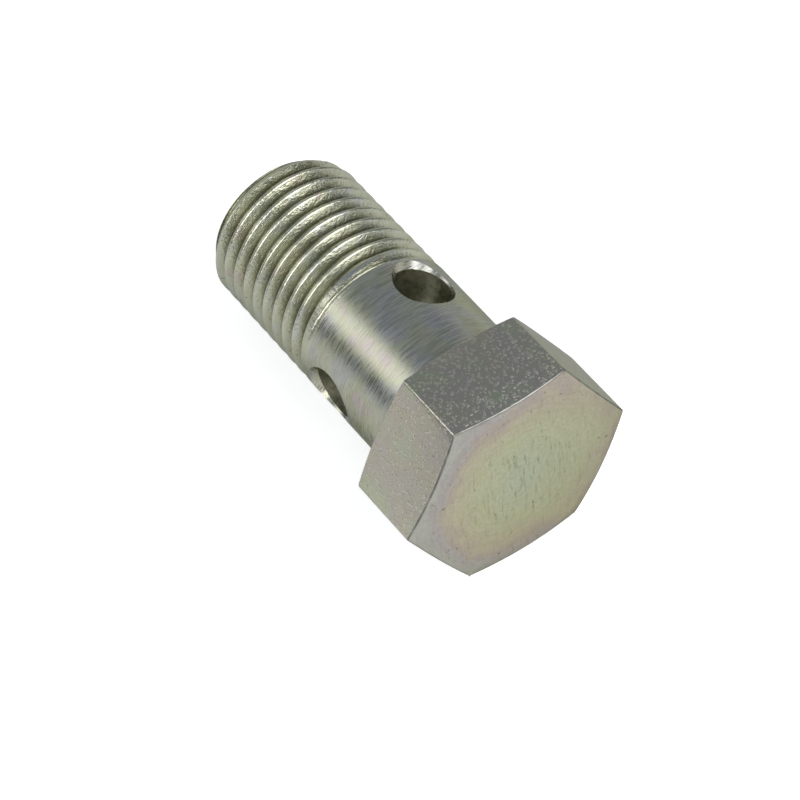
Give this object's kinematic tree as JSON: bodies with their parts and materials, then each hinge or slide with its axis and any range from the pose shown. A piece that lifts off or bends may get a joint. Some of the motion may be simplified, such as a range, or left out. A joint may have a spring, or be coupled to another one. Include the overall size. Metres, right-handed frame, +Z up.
{
  "type": "banjo bolt",
  "caption": "Hollow hexagon-head bolt with a blind axial bore and radial ports through its shank, for clamping a ring fitting to a threaded port.",
  "frame": {"origin": "centre of the box's base, on the surface that the bolt lies on", "axes": "+X along the bolt as it lies, towards its head, which is raised by 4.5 degrees; +Z up"},
  "size_m": [0.0334, 0.0196, 0.0175],
  "materials": {
    "chromated_zinc": "bright zinc plate on steel with a thin clear to yellow chromate film"
  },
  "bodies": {
    "root": {"banjo_bolt": "chromated_zinc"}
  },
  "joints": []
}
